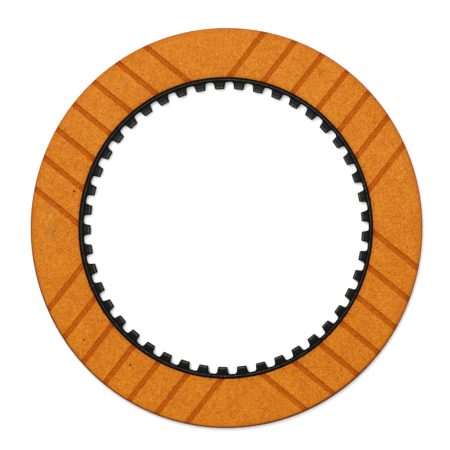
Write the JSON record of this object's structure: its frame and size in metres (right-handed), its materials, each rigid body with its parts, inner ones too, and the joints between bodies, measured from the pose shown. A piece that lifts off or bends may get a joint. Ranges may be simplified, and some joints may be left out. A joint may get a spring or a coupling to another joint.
{
  "type": "clutch disc",
  "caption": "Flat ring-shaped friction disc for an oil-bath clutch, with an internally splined steel plate and grooved paper facings on both faces.",
  "frame": {"origin": "centre of the disc, on its axis and its middle plane", "axes": "+Z along the disc's axis; +X through the middle of a tooth space"},
  "size_m": [0.19, 0.19, 0.0032],
  "materials": {
    "plate_steel": "dark oiled steel, satin",
    "friction_paper": "amber resin-filled friction paper, matt"
  },
  "bodies": {
    "root": {"core_plate": "plate_steel", "front_facing": "friction_paper", "back_facing": "friction_paper"}
  },
  "joints": []
}
